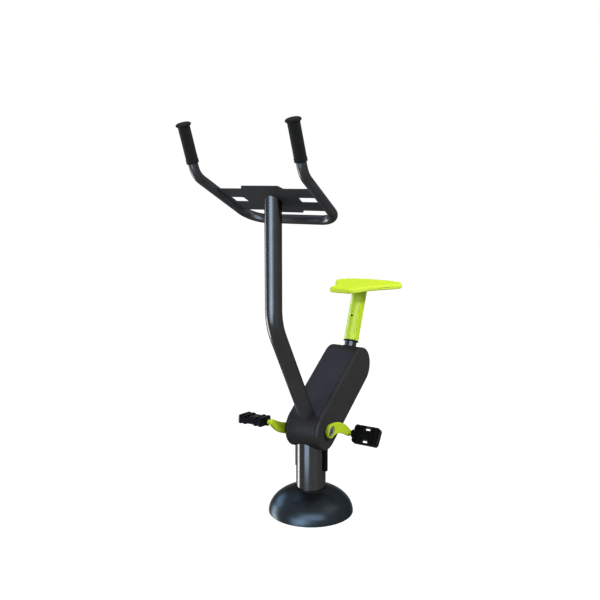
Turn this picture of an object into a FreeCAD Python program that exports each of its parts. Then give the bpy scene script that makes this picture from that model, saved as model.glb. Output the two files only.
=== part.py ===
"""Outdoor exercise bike on one ground post.

Frame: +X forward to the handlebar, +Y to the rider's left, +Z up, millimetres.
The origin is the centre of the base flange, on its underside.
"""
import FreeCAD
import Part
import math
import os

V = FreeCAD.Vector

# Base and ground post
FLANGE_RADIUS = 130.0
FLANGE_THICKNESS = 10.0
ANCHOR_CIRCLE_RADIUS = 105.0
ANCHOR_HOLE_RADIUS = 7.0
ANCHOR_COUNT = 4
POST_RADIUS = 57.15
POST_WALL = 4.0
POST_TOP = 284.0
POST_CAP_THICKNESS = 6.0
GUSSET_REACH = 105.0
GUSSET_HEIGHT = 50.0
GUSSET_THICKNESS = 6.0
GUSSET_TOE = 8.0
GUSSET_COUNT = 4
DOME_RADIUS = 163.0
DOME_HEIGHT = 102.0
DOME_WALL = 3.0
DOME_POST_GAP = 0.3

# Drive housing, a long round-ended box that leans back from the crank axis
CRANK_AXIS_X = -3.0
CRANK_AXIS_Z = 328.0
HOUSING_LEAN = 35.0
HOUSING_LENGTH = 336.0
HOUSING_RADIUS = 76.5
HOUSING_HALF_WIDTH = 73.0
HOUSING_WALL = 3.0
HOUSING_EDGE_ROUND = 7.5
COVER_SEAM = 57.0
COVER_SEAM_GAP = 0.6
COVER_LIP_START = 50.0
COVER_LIP_WALL = 2.4
COVER_LIP_GAP = 0.1
COVER_SCREW_PLACES = (90.0, 190.0, 290.0)
COVER_SCREW_Y = 53.5
COVER_SCREW_RADIUS = 2.0
COVER_SCREW_HEAD_RADIUS = 4.0
COVER_SCREW_HEAD_HEIGHT = 2.4
COVER_SCREW_LENGTH = 8.0
GROMMET_WALL = 4.0
GROMMET_LIP = 1.5
GROMMET_SPAN = (-32.0, -9.0)

# Side plates, each with a rib that runs down the post, crank bearings and the bracket shell
SIDE_PLATE_INNER = 54.2
SIDE_PLATE_OUTER = 63.5
SIDE_RIB_HALF_WIDTH = 7.0
SIDE_RIB_OUTER = 69.0
SIDE_RIB_BOTTOM = 168.0
SIDE_PLATE_HEAD_RADIUS = 44.0
SIDE_RIB_SLOT_GAP = 0.6
BEARING_INNER_Y = 51.0
BEARING_OUTER_Y = 66.0
HUB_RADIUS = 35.0
CRANK_BEARING_RADIUS = 26.0
CRANK_BEARING_SPLIT = 16.0
SHELL_INNER_RADIUS = 29.0
SHELL_LEFT_END = 33.0
NECK_HALF_LENGTH = 30.0
NECK_RIGHT = -45.0
NECK_LEFT = 28.0

# Mast and handlebar
MAST_RADIUS = 30.15
MAST_WALL = 3.2
MAST_X = 255.0
MAST_BEND_Z = 767.0
MAST_BEND_RADIUS = 210.0
BAR_RADIUS = 16.85
BAR_WALL = 2.6
CROSSBAR_X = 124.4
CROSSBAR_Z = 1127.0
CROSSBAR_CORNER_Y = 180.0
ARM_SLOPE = 28.57
ARM_LENGTH = 317.5
ARM_TOP_Y = 210.5
GRIP_SLOPE = 69.7
ARM_TOP_TO_GRIP = 44.3
CROSSBAR_BEND_RADIUS = 74.0
ARM_BEND_RADIUS = 80.0
PLATE_THICKNESS = 4.0
PLATE_WING_START = 74.0
PLATE_WING_END = 225.0
PLATE_TAB_START = 58.5
PLATE_TAB_END = 245.0
PLATE_TAB_HALF = 72.0
PLATE_TAB_STEP = 12.0
PLATE_LOWER_STEP = 8.0
SLOT_START = 132.0
SLOT_END = 168.0
SLOT_INNER_Y = 105.0
SLOT_OUTER_Y = 175.0
SLOT_SLANT = 5.0
GRIP_LENGTH = 134.5
GRIP_RADIUS = 20.2
GRIP_COLLAR_RADIUS = 21.4
GRIP_FLANGE_RADIUS = 26.0
GRIP_FLANGE_HEIGHT = 12.0
GRIP_END_WALL = 6.0
GRIP_COLLAR_HEIGHT = 4.0
GRIP_GROOVE = 3.0
GRIP_FLANGE_RISE = 4.0
GRIP_FLANGE_ROUND = 3.5

# Seat tube, sliding sleeve and saddle
SEAT_LEAN = 20.2
SEAT_POINT = V(-317.5, 0, 604.3)
SEAT_TUBE_RADIUS = 24.15
SEAT_TUBE_WALL = 3.0
SEAT_TUBE_BOTTOM = -128.0
SEAT_TUBE_TOP = 205.0
SEAT_PLUG_HEIGHT = 5.0
SLEEVE_RADIUS = 30.15
SLEEVE_WALL = 3.2
SLEEVE_START = 9.5
BUSH_RING = 5.0
BUSH_RING_RADIUS = 31.5
BUSH_HEIGHT = 25.0
BUSH_RUNNING_GAP = 0.05
UPPER_BUSH_START = 75.0
SEAT_PLATE_Z = 822.0
SEAT_PLATE_THICKNESS = 6.0
SEAT_PLATE_HALF_X = 55.0
SEAT_PLATE_HALF_Y = 42.0
SEAT_PLATE_GAP = 2.0
SADDLE_HALF_PLAN = ((-220, 22), (-227, 47), (-257, 61), (-316, 73), (-376, 101),
                    (-430, 136), (-486, 149), (-525, 119), (-548, 69), (-554, 22))
SADDLE_BOTTOM = 820.0
SADDLE_TOP = 840.5
SADDLE_TOP_ROUND = 7.0
SADDLE_BOTTOM_ROUND = 4.0
SADDLE_BOLT_X = 42.0
SADDLE_BOLT_Y = 31.0
SADDLE_BOLT_RADIUS = 4.0
SADDLE_BOLT_HEAD_RADIUS = 6.5
SADDLE_BOLT_HEAD_HEIGHT = 5.0
SADDLE_BOLT_REACH = 8.0
LOCK_SCREW_ALONG = 108.0
LOCK_SCREW_GAP = 0.35
LOCK_SCREW_RADIUS = 4.0
LOCK_SCREW_SUNK = 0.8
LOCK_SCREW_SOCKET_RADIUS = 2.0
LOCK_SCREW_SOCKET_DEPTH = 2.5

# Cranks and pedals
CRANK_LENGTH = 152.0
CRANK_DROP = 17.5
AXLE_RADIUS = 12.5
AXLE_COLLAR_RADIUS = 16.0
AXLE_END = 84.0
CRANK_INNER = 75.0
CRANK_OUTER = 91.0
CRANK_BOSS_RADIUS = 26.5
CRANK_NECK_RADIUS = 17.0
CRANK_RECESS_RADIUS = 21.0
CRANK_RECESS_DEPTH = 6.0
CRANK_END_RADIUS = 13.0
CRANK_ARM_INNER = 77.0
CRANK_BOW = V(68.0, 0, 36.5)
CRANK_WAIST = V(85.0, 0, -5.0)
CRANK_HEEL = V(40.0, 0, -9.5)
CRANK_TOE = V(118.0, 0, -7.5)
CRANK_SIDE_GAP = 0.3
BOSS_TOP_JOIN = -4.0
BOSS_LOW_JOIN = 13.0
END_TOP_JOIN = 3.0
END_LOW_JOIN = -5.0
CRANK_ARM_OUTER = 90.0
PEDAL_STUB_RADIUS = 9.7
PEDAL_STUB_END = 100.5
COVER_AXLE_HOLE_RADIUS = 23.0
SEAL_GAP = 0.4
CRANK_WASHER_RADIUS = 18.0
CRANK_WASHER_THICKNESS = 2.0
CRANK_BOLT_ACROSS_FLATS = 17.0
CRANK_BOLT_HEAD = 3.5
CRANK_BOLT_RADIUS = 5.0
CRANK_BOLT_DEPTH = 25.0
PEDAL_BOSS_START = 101.0
PEDAL_BOSS_RADIUS = 15.5
PEDAL_BOSS_GAP = 0.4
PEDAL_START = 109.0
PEDAL_END = 217.0
PEDAL_WIDTH = 75.0
PEDAL_CORE = 24.0
PEDAL_THICKNESS = 34.0
PEDAL_CORE_ROUND = 6.0
PEDAL_RIB_ROUND = 9.0
PEDAL_CORNER = 14.0
PEDAL_BARREL_RADIUS = 13.0
PEDAL_RIB_PLACES = (-44.0, -24.0, 24.0, 44.0)
PEDAL_RIB_WIDTH = 8.0
PEDAL_HOLE_LENGTH = 28.3
PEDAL_HOLE_WIDTH = 11.8
PEDAL_HOLE_PLACE = 24.6
PEDAL_BORE_RADIUS = 10.0
PEDAL_BUSH_LENGTH = 20.0
PEDAL_BUSH_SUNK = 1.0
PEDAL_BUSH_HEAD_GAP = 3.0
PEDAL_CAP_THICKNESS = 5.0
SPINDLE_RADIUS = 6.0
SPINDLE_END = 203.0
SPINDLE_HEAD_RADIUS = 8.5
SPINDLE_HEAD = 5.0
PEDAL_LEFT_TILT = 123.0
PEDAL_RIGHT_TILT = 4.0

# Belt drive and flywheel, inside the housing
FLYWHEEL_ALONG = 215.0
PULLEY_START = 35.0
PULLEY_END = 49.0
PULLEY_FLANGE = 1.5
PULLEY_FLANGE_LIP = 2.5
DRIVE_PULLEY_RADIUS = 40.0
FLYWHEEL_PULLEY_RADIUS = 16.0
BELT_GAP = 0.35
BELT_THICKNESS = 2.5
BELT_SIDE_GAP = 0.5
SHAFT_RADIUS = 7.5
SHAFT_RIGHT_END = -58.0
SHAFT_LEFT_END = 53.0
SHAFT_NUT_ACROSS_FLATS = 22.0
SHAFT_BEARING_RADIUS = 17.5
SHAFT_BEARING_SPLIT = 10.5
SHAFT_BEARING_WIDTH = 11.0
SHAFT_HUB_RADIUS = 22.0
SHAFT_HUB_HALF = 29.0
FLYWHEEL_RADIUS = 62.0
FLYWHEEL_RIM = 16.0
FLYWHEEL_WEB = 7.0
FLYWHEEL_OUTER_Y = -52.0
FLYWHEEL_INNER_Y = -33.0
FLYWHEEL_HUB_RADIUS = 13.0
SPINE_HALF_WIDTH = 25.0
SPINE_HALF_HEIGHT = 30.0
SPINE_WALL = 3.0
SPINE_REACH = 400.0
BEARING_GAP = 0.05

# Directions that follow from the leans
X_AXIS = V(1, 0, 0)
Y_AXIS = V(0, 1, 0)
Z_AXIS = V(0, 0, 1)


def tilted(degrees):
    """Unit vector in the X-Z plane, turned up from +X."""
    return V(math.cos(math.radians(degrees)), 0, math.sin(math.radians(degrees)))


CRANK_AXIS = V(CRANK_AXIS_X, 0, CRANK_AXIS_Z)
BACK = tilted(180.0 - HOUSING_LEAN)
FRONT_NORMAL = tilted(90.0 - HOUSING_LEAN)
HOUSING_TOP_CENTRE = CRANK_AXIS + BACK * HOUSING_LENGTH
FLYWHEEL_AXIS = CRANK_AXIS + BACK * FLYWHEEL_ALONG
SEAT_UP = tilted(90.0 + SEAT_LEAN)
SEAT_FRONT = tilted(SEAT_LEAN)
ARM_UP = tilted(ARM_SLOPE)
PLATE_NORMAL = tilted(90.0 + ARM_SLOPE)
GRIP_UP = tilted(GRIP_SLOPE)
CROSSBAR = V(CROSSBAR_X, 0, CROSSBAR_Z)
SIDES = {"left": 1, "right": -1}

nodes = {}


# Small builders
def rod(start, end, radius):
    """Solid cylinder between two points."""
    return Part.makeCylinder(radius, (end - start).Length, start, end - start)


def pipe(start, end, outer, inner):
    """Round tube between two points."""
    return rod(start, end, outer).cut(rod(start, end, inner))


def disc_y(axis, y_a, y_b, radius):
    """Cylinder along Y between two stations, about a point of the X-Z plane."""
    return rod(V(axis.x, min(y_a, y_b), axis.z), V(axis.x, max(y_a, y_b), axis.z), radius)


def ring_y(axis, y_a, y_b, outer, inner):
    """Ring along Y."""
    return disc_y(axis, y_a, y_b, outer).cut(disc_y(axis, y_a, y_b, inner))


def block(low, high):
    """Box between two corners."""
    size = high - low
    return Part.makeBox(size.x, size.y, size.z, low)


def slab(wire, y_a, y_b):
    """Solid from a closed outline in the X-Z plane, between two Y stations."""
    low = min(y_a, y_b)
    face = Part.Face(wire)
    face.translate(V(0, low, 0))
    return face.extrude(V(0, abs(y_b - y_a), 0))


def half_space(point, normal, reach=900.0):
    """Large solid on the side of a plane that its normal points to; the plane holds the Y axis."""
    along = normal.cross(Y_AXIS)
    corners = [point + along * a + Y_AXIS * b for a, b in
               ((-reach, -reach), (reach, -reach), (reach, reach), (-reach, reach))]
    return Part.Face(Part.makePolygon(corners + corners[:1])).extrude(normal * reach)


def arc(start, middle, end):
    """Circular edge through three points."""
    return Part.Arc(start, middle, end).toShape()


def line(start, end):
    """Straight edge."""
    return Part.LineSegment(start, end).toShape()


def turned(edges):
    """Solid of revolution about the Z axis, from edges in the X-Z plane (X is the radius)."""
    return Part.Face(Part.Wire(edges)).revolve(V(0, 0, 0), Z_AXIS, 360)


def outline(points):
    """Closed straight-sided edge list from (radius, height) pairs."""
    corners = [V(r, 0, h) for r, h in points]
    return [line(a, b) for a, b in zip(corners, corners[1:] + corners[:1])]


def round_ended(centre_a, radius_a, centre_b, radius_b):
    """Outline of a belt drawn round two circles of the X-Z plane."""
    along = (centre_b - centre_a).normalize()
    span = (centre_b - centre_a).Length
    across = V(-along.z, 0, along.x)
    tip = (radius_a - radius_b) / span
    rise = math.sqrt(1.0 - tip * tip)
    upper = along * tip + across * rise
    lower = along * tip - across * rise
    a_up, a_low = centre_a + upper * radius_a, centre_a + lower * radius_a
    b_up, b_low = centre_b + upper * radius_b, centre_b + lower * radius_b
    return Part.Wire([
        line(a_up, b_up),
        arc(b_up, centre_b + along * radius_b, b_low),
        line(b_low, a_low),
        arc(a_low, centre_a - along * radius_a, a_up),
    ])


def bent_path(points, radii):
    """Wire of straight runs joined by tangent arcs."""
    edges = []
    start = points[0]
    for before, corner, after, radius in zip(points, points[1:], points[2:], radii):
        back = (before - corner).normalize()
        ahead = (after - corner).normalize()
        half = back.getAngle(ahead) / 2.0
        reach = radius / math.tan(half)
        bisector = (back + ahead).normalize()
        centre = corner + bisector * (radius / math.sin(half))
        arc_start, arc_end = corner + back * reach, corner + ahead * reach
        edges.append(line(start, arc_start))
        edges.append(arc(arc_start, centre - bisector * radius, arc_end))
        start = arc_end
    edges.append(line(start, points[-1]))
    return Part.Wire(edges)


def swept(path, radius):
    """Round bar along a path."""
    first = path.Edges[0]
    start = path.OrderedVertexes[0].Point
    circle = Part.Wire(Part.makeCircle(radius, start, first.tangentAt(first.FirstParameter)))
    return path.makePipeShell([circle], True, False)


def hexagon_y(axis, y_a, y_b, across_flats):
    """Hexagon prism along Y."""
    corner = across_flats / math.sqrt(3.0)
    points = [axis + tilted(60.0 * k) * corner for k in range(7)]
    return slab(Part.makePolygon([V(p.x, 0, p.z) for p in points]), y_a, y_b)


# Base, post and ground cover
def build_base():
    flange = rod(V(0, 0, 0), Z_AXIS * FLANGE_THICKNESS, FLANGE_RADIUS)
    for k in range(ANCHOR_COUNT):
        angle = math.radians(45.0 + 360.0 / ANCHOR_COUNT * k)
        spot = V(math.cos(angle), math.sin(angle), 0) * ANCHOR_CIRCLE_RADIUS
        flange = flange.cut(rod(spot, spot + Z_AXIS * FLANGE_THICKNESS, ANCHOR_HOLE_RADIUS))
    nodes["base_flange"] = flange

    floor = Z_AXIS * FLANGE_THICKNESS
    post_solid = rod(floor, Z_AXIS * POST_TOP, POST_RADIUS)
    nodes["base_post"] = pipe(floor, Z_AXIS * POST_TOP, POST_RADIUS, POST_RADIUS - POST_WALL)
    cap_low = Z_AXIS * (POST_TOP - POST_CAP_THICKNESS)
    nodes["post_cap"] = rod(cap_low, Z_AXIS * POST_TOP, POST_RADIUS - POST_WALL)

    root = POST_RADIUS - POST_WALL
    toe_top = FLANGE_THICKNESS + GUSSET_TOE
    profile = outline([(root, FLANGE_THICKNESS), (GUSSET_REACH, FLANGE_THICKNESS), (GUSSET_REACH, toe_top),
                       (POST_RADIUS + GUSSET_TOE, GUSSET_HEIGHT), (root, GUSSET_HEIGHT)])
    gusset = slab(Part.Wire(profile), -GUSSET_THICKNESS / 2, GUSSET_THICKNESS / 2).cut(post_solid)
    gussets = []
    for k in range(GUSSET_COUNT):
        turned_gusset = gusset.copy()
        turned_gusset.rotate(V(0, 0, 0), Z_AXIS, 360.0 / GUSSET_COUNT * k)
        gussets.append(turned_gusset)
    nodes["base_gussets"] = Part.makeCompound(gussets)

    hole = POST_RADIUS + DOME_POST_GAP
    outer = Part.Ellipse(V(DOME_RADIUS, 0, 0), V(0, 0, DOME_HEIGHT), V(0, 0, 0))
    inner = Part.Ellipse(V(DOME_RADIUS - DOME_WALL, 0, 0), V(0, 0, DOME_HEIGHT - DOME_WALL), V(0, 0, 0))
    outer_arc = Part.ArcOfEllipse(outer, 0, math.acos(hole / DOME_RADIUS)).toShape()
    inner_arc = Part.ArcOfEllipse(inner, 0, math.acos(hole / (DOME_RADIUS - DOME_WALL))).toShape()
    ends = [edge.valueAt(edge.LastParameter) for edge in (outer_arc, inner_arc)]
    foot = [V(DOME_RADIUS, 0, 0), V(DOME_RADIUS - DOME_WALL, 0, 0)]
    edges = Part.sortEdges([outer_arc, line(ends[0], ends[1]), inner_arc, line(foot[1], foot[0])])[0]
    nodes["ground_cover"] = turned(edges)
    return post_solid


# Side plates, bearing hubs, bracket shell and neck
def build_bracket(post_solid):
    for side, sign in SIDES.items():
        rib = block(V(CRANK_AXIS_X - SIDE_RIB_HALF_WIDTH, POST_RADIUS - POST_WALL, SIDE_RIB_BOTTOM),
                    V(CRANK_AXIS_X + SIDE_RIB_HALF_WIDTH, SIDE_RIB_OUTER, CRANK_AXIS_Z))
        plate = rib.fuse(disc_y(CRANK_AXIS, SIDE_PLATE_INNER, SIDE_PLATE_OUTER, SIDE_PLATE_HEAD_RADIUS))
        plate = plate.cut(disc_y(CRANK_AXIS, BEARING_INNER_Y, SIDE_RIB_OUTER, HUB_RADIUS)).cut(post_solid)
        plate = plate.removeSplitter()
        if sign < 0:
            plate = plate.mirror(V(0, 0, 0), Y_AXIS)
        nodes[f"side_plate_{side}"] = plate
        nodes[f"bearing_hub_{side}"] = ring_y(CRANK_AXIS, sign * BEARING_INNER_Y, sign * BEARING_OUTER_Y,
                                              HUB_RADIUS, CRANK_BEARING_RADIUS)
    shell_solid = disc_y(CRANK_AXIS, -BEARING_INNER_Y, SHELL_LEFT_END, HUB_RADIUS)
    shell_bore = disc_y(CRANK_AXIS, -BEARING_INNER_Y, SHELL_LEFT_END, SHELL_INNER_RADIUS)
    nodes["bracket_shell"] = shell_solid.cut(shell_bore)
    neck = block(V(-NECK_HALF_LENGTH, NECK_RIGHT, POST_TOP), V(NECK_HALF_LENGTH, NECK_LEFT, CRANK_AXIS_Z))
    nodes["neck_block"] = neck.cut(shell_solid)
    return shell_solid


# Mast, handlebar, plate and grips
def arm_point(along, y, above=0.0):
    """Point of the handlebar plane, measured from the crossbar."""
    return CROSSBAR + ARM_UP * along + Y_AXIS * y + PLATE_NORMAL * above


def build_handlebar(shell_solid):
    under_plate = half_space(arm_point(0, 0, -PLATE_THICKNESS / 2), PLATE_NORMAL)
    over_plate = V(MAST_X, 0, CROSSBAR_Z + ARM_LENGTH)
    mast_path = bent_path([CRANK_AXIS, V(MAST_X, 0, MAST_BEND_Z), over_plate], [MAST_BEND_RADIUS])
    mast_solid = swept(mast_path, MAST_RADIUS).cut(under_plate).cut(shell_solid)
    nodes["mast"] = mast_solid.cut(swept(mast_path, MAST_RADIUS - MAST_WALL))

    grip_base = {}
    for side, sign in SIDES.items():
        grip_base[side] = arm_point(ARM_LENGTH, sign * ARM_TOP_Y) + GRIP_UP * ARM_TOP_TO_GRIP
    tube_top = GRIP_UP * (GRIP_LENGTH - GRIP_END_WALL)
    bar_path = bent_path([grip_base["right"] + tube_top, arm_point(ARM_LENGTH, -ARM_TOP_Y),
                          arm_point(0, -CROSSBAR_CORNER_Y), arm_point(0, CROSSBAR_CORNER_Y),
                          arm_point(ARM_LENGTH, ARM_TOP_Y), grip_base["left"] + tube_top],
                         [ARM_BEND_RADIUS, CROSSBAR_BEND_RADIUS, CROSSBAR_BEND_RADIUS, ARM_BEND_RADIUS])
    bar_solid = swept(bar_path, BAR_RADIUS)
    nodes["handlebar_tube"] = bar_solid.cut(swept(bar_path, BAR_RADIUS - BAR_WALL))

    def arm_y(along):
        return CROSSBAR_CORNER_Y + (ARM_TOP_Y - CROSSBAR_CORNER_Y) * along / ARM_LENGTH

    tab_outer = PLATE_TAB_HALF + PLATE_TAB_STEP
    half = [(PLATE_TAB_START, PLATE_TAB_HALF), (PLATE_WING_START, PLATE_TAB_HALF + PLATE_LOWER_STEP),
            (PLATE_WING_START, arm_y(PLATE_WING_START)), (PLATE_WING_END, arm_y(PLATE_WING_END)),
            (PLATE_WING_END, tab_outer), (PLATE_TAB_END, PLATE_TAB_HALF)]
    rim = half + [(s, -y) for s, y in reversed(half)]
    corners = [arm_point(s, y, -PLATE_THICKNESS / 2) for s, y in rim]
    plate = Part.Face(Part.makePolygon(corners + corners[:1])).extrude(PLATE_NORMAL * PLATE_THICKNESS)
    for sign in SIDES.values():
        slot = [(SLOT_START, SLOT_INNER_Y), (SLOT_START, SLOT_OUTER_Y - SLOT_SLANT),
                (SLOT_END, SLOT_OUTER_Y), (SLOT_END, SLOT_INNER_Y + SLOT_SLANT)]
        corners = [arm_point(s, sign * y, -PLATE_THICKNESS) for s, y in slot]
        slot_face = Part.Face(Part.makePolygon(corners + corners[:1]))
        plate = plate.cut(slot_face.extrude(PLATE_NORMAL * 2 * PLATE_THICKNESS))
    nodes["handlebar_plate"] = plate.cut(bar_solid)

    bore_end = GRIP_LENGTH - GRIP_END_WALL
    flange_start = GRIP_LENGTH - GRIP_FLANGE_HEIGHT
    groove_start = GRIP_COLLAR_HEIGHT
    groove_end = groove_start + GRIP_GROOVE
    collar_end = groove_end + GRIP_COLLAR_HEIGHT
    profile = [(BAR_RADIUS, 0), (GRIP_COLLAR_RADIUS, 0), (GRIP_COLLAR_RADIUS, groove_start),
               (GRIP_RADIUS, (groove_start + groove_end) / 2), (GRIP_COLLAR_RADIUS, groove_end),
               (GRIP_COLLAR_RADIUS, collar_end), (GRIP_RADIUS, collar_end + GRIP_GROOVE),
               (GRIP_RADIUS, flange_start), (GRIP_FLANGE_RADIUS, flange_start + GRIP_FLANGE_RISE),
               (GRIP_FLANGE_RADIUS, GRIP_LENGTH),
               (0, GRIP_LENGTH), (0, bore_end), (BAR_RADIUS, bore_end)]
    grip = turned(outline(profile))
    brim = [e for e in grip.Edges if e.BoundBox.XMax > GRIP_FLANGE_RADIUS - 0.1 and e.BoundBox.ZLength < 0.1]
    grip = grip.makeFillet(GRIP_FLANGE_ROUND, brim)
    for side in SIDES:
        placed = grip.copy()
        placed.Placement = FreeCAD.Placement(grip_base[side], FreeCAD.Rotation(Z_AXIS, GRIP_UP))
        nodes[f"grip_{side}"] = placed
    return mast_solid


# Spine, seat tube and the fixed seat parts
def seat_at(along):
    """Point on the seat tube's axis."""
    return SEAT_POINT + SEAT_UP * along


def build_seat_support(shell_solid, mast_solid):
    tube_solid = rod(seat_at(SEAT_TUBE_BOTTOM), seat_at(SEAT_TUBE_TOP), SEAT_TUBE_RADIUS)
    nodes["seat_tube"] = pipe(seat_at(SEAT_TUBE_BOTTOM), seat_at(SEAT_TUBE_TOP),
                              SEAT_TUBE_RADIUS, SEAT_TUBE_RADIUS - SEAT_TUBE_WALL)
    nodes["seat_tube_plug"] = rod(seat_at(SEAT_TUBE_TOP - SEAT_PLUG_HEIGHT), seat_at(SEAT_TUBE_TOP),
                                  SEAT_TUBE_RADIUS - SEAT_TUBE_WALL)

    def bar(half_height, half_width):
        rim = [(0, half_height), (SPINE_REACH, half_height), (SPINE_REACH, -half_height), (0, -half_height)]
        corners = [CRANK_AXIS + BACK * a + FRONT_NORMAL * b for a, b in rim]
        return slab(Part.makePolygon(corners + corners[:1]), -half_width, half_width)

    spine = bar(SPINE_HALF_HEIGHT, SPINE_HALF_WIDTH)
    spine = spine.cut(bar(SPINE_HALF_HEIGHT - SPINE_WALL, SPINE_HALF_WIDTH - SPINE_WALL))
    hub_solid = disc_y(FLYWHEEL_AXIS, -SHAFT_HUB_HALF, SHAFT_HUB_HALF, SHAFT_HUB_RADIUS)
    hub_bore = disc_y(FLYWHEEL_AXIS, -SHAFT_HUB_HALF, SHAFT_HUB_HALF, SHAFT_BEARING_RADIUS)
    behind_tube = half_space(SEAT_POINT, SEAT_FRONT * -1.0)
    for solid in (shell_solid, mast_solid, tube_solid, behind_tube, hub_solid):
        spine = spine.cut(solid)
    nodes["spine_tube"] = spine
    nodes["shaft_hub"] = hub_solid.cut(hub_bore)
    return tube_solid


# Housing: a steel band round the drive and two moulded side covers
def housing_slab(radius, y_a, y_b):
    return slab(round_ended(CRANK_AXIS, radius, HOUSING_TOP_CENTRE, radius), y_a, y_b)


def rounded_cover(radius, start, end, edge_round):
    """Housing slab with its outer rim rounded."""
    solid = housing_slab(radius, start, end)
    rim = [e for e in solid.Edges if all(abs(v.Point.y - end) < 1e-6 for v in e.Vertexes)]
    return solid.makeFillet(edge_round, rim)


def cover_screw_point(along, y):
    """Point on the housing's underside."""
    return CRANK_AXIS + BACK * along - FRONT_NORMAL * HOUSING_RADIUS + Y_AXIS * y


def build_housing(post_solid, mast_solid, tube_solid):
    slot_half = SIDE_RIB_HALF_WIDTH + SIDE_RIB_SLOT_GAP
    rib_slot = block(V(CRANK_AXIS_X - slot_half, COVER_LIP_START, CRANK_AXIS_Z - 2 * HOUSING_RADIUS),
                     V(CRANK_AXIS_X + slot_half, SIDE_RIB_OUTER + SIDE_RIB_SLOT_GAP, POST_TOP))
    rib_slots = [rib_slot, rib_slot.mirror(V(0, 0, 0), Y_AXIS)]
    screw_holes, screws = [], []
    for along in COVER_SCREW_PLACES:
        for sign in SIDES.values():
            spot = cover_screw_point(along, sign * COVER_SCREW_Y)
            shank = rod(spot, spot + FRONT_NORMAL * COVER_SCREW_LENGTH, COVER_SCREW_RADIUS)
            head = rod(spot - FRONT_NORMAL * COVER_SCREW_HEAD_HEIGHT, spot, COVER_SCREW_HEAD_RADIUS)
            screw_holes.append(shank)
            screws.append(shank.fuse(head).removeSplitter())
    nodes["cover_screws"] = Part.makeCompound(screws)

    inner = HOUSING_RADIUS - HOUSING_WALL
    band = housing_slab(HOUSING_RADIUS, -COVER_SEAM, COVER_SEAM)
    band = band.cut(housing_slab(inner, -COVER_SEAM, COVER_SEAM))
    plug = rod(seat_at(GROMMET_SPAN[0]), seat_at(GROMMET_SPAN[1]), SEAT_TUBE_RADIUS + GROMMET_WALL)
    band = band.cut(plug)
    for solid in [post_solid, mast_solid] + rib_slots + screw_holes:
        band = band.cut(solid)
    nodes["housing_band"] = band
    grommet = plug.cut(tube_solid).common(housing_slab(HOUSING_RADIUS + GROMMET_LIP, -COVER_SEAM, COVER_SEAM))
    nodes["seat_tube_grommet"] = grommet.cut(housing_slab(inner - GROMMET_LIP, -COVER_SEAM, COVER_SEAM))

    lip_outer = inner - COVER_LIP_GAP
    cavity_end = HOUSING_HALF_WIDTH - HOUSING_WALL
    cover_start = COVER_SEAM + COVER_SEAM_GAP
    cover = rounded_cover(HOUSING_RADIUS, cover_start, HOUSING_HALF_WIDTH, HOUSING_EDGE_ROUND)
    cover = cover.fuse(housing_slab(lip_outer, COVER_LIP_START, cover_start)).removeSplitter()
    cover = cover.cut(rounded_cover(lip_outer - COVER_LIP_WALL, COVER_LIP_START, cavity_end,
                                    HOUSING_EDGE_ROUND - HOUSING_WALL))
    cover = cover.cut(disc_y(CRANK_AXIS, cavity_end, HOUSING_HALF_WIDTH, COVER_AXLE_HOLE_RADIUS))
    for side, sign in SIDES.items():
        shell = cover if sign > 0 else cover.mirror(V(0, 0, 0), Y_AXIS)
        for solid in [post_solid] + rib_slots + screw_holes:
            shell = shell.cut(solid)
        nodes[f"cover_{side}"] = shell
    seals = [ring_y(CRANK_AXIS, sign * cavity_end, sign * HOUSING_HALF_WIDTH, COVER_AXLE_HOLE_RADIUS,
                    CRANK_NECK_RADIUS + SEAL_GAP) for sign in SIDES.values()]
    nodes["axle_seals"] = Part.makeCompound(seals)


# Crankset: axle, bearings, cranks and pedal spindles
def round_point(centre_x, radius, along):
    """Point on the upper half of a circle of the crank's outline, a distance along from its centre."""
    return V(centre_x + along, 0, math.sqrt(radius ** 2 - along ** 2))


def crank_outline():
    """Curved crank arm, drawn along +X from the axle; the bow is towards +Z."""
    boss_top = round_point(0, CRANK_BOSS_RADIUS, BOSS_TOP_JOIN)
    boss_low = round_point(0, CRANK_BOSS_RADIUS, BOSS_LOW_JOIN)
    end_top = round_point(CRANK_LENGTH, CRANK_END_RADIUS, END_TOP_JOIN)
    end_low = round_point(CRANK_LENGTH, CRANK_END_RADIUS, END_LOW_JOIN)
    boss_low.z *= -1.0
    end_low.z *= -1.0
    return Part.Wire([
        arc(boss_top, CRANK_BOW, end_top),
        arc(end_top, V(CRANK_LENGTH + CRANK_END_RADIUS, 0, 0), end_low),
        arc(end_low, CRANK_TOE, CRANK_WAIST),
        arc(CRANK_WAIST, CRANK_HEEL, boss_low),
        arc(boss_low, V(-CRANK_BOSS_RADIUS, 0, 0), boss_top),
    ])


def build_crank():
    """One crank, pointing along +X from the origin, its outer face towards +Y."""
    centre = V(0, 0, 0)
    neck_start = BEARING_OUTER_Y + CRANK_SIDE_GAP
    pedal_axis = X_AXIS * CRANK_LENGTH
    arm = slab(crank_outline(), CRANK_ARM_INNER, CRANK_ARM_OUTER)
    arm = arm.fuse(disc_y(centre, CRANK_INNER, CRANK_OUTER, CRANK_BOSS_RADIUS))
    arm = arm.fuse(disc_y(centre, neck_start, CRANK_INNER, CRANK_NECK_RADIUS))
    arm = arm.fuse(disc_y(pedal_axis, CRANK_ARM_INNER, PEDAL_STUB_END, PEDAL_STUB_RADIUS)).removeSplitter()
    arm = arm.cut(disc_y(centre, CRANK_OUTER - CRANK_RECESS_DEPTH, CRANK_OUTER, CRANK_RECESS_RADIUS))
    arm = arm.cut(disc_y(centre, neck_start, CRANK_OUTER, AXLE_RADIUS))
    return arm.cut(disc_y(pedal_axis, CRANK_ARM_INNER, PEDAL_STUB_END, SPINDLE_RADIUS))


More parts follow.
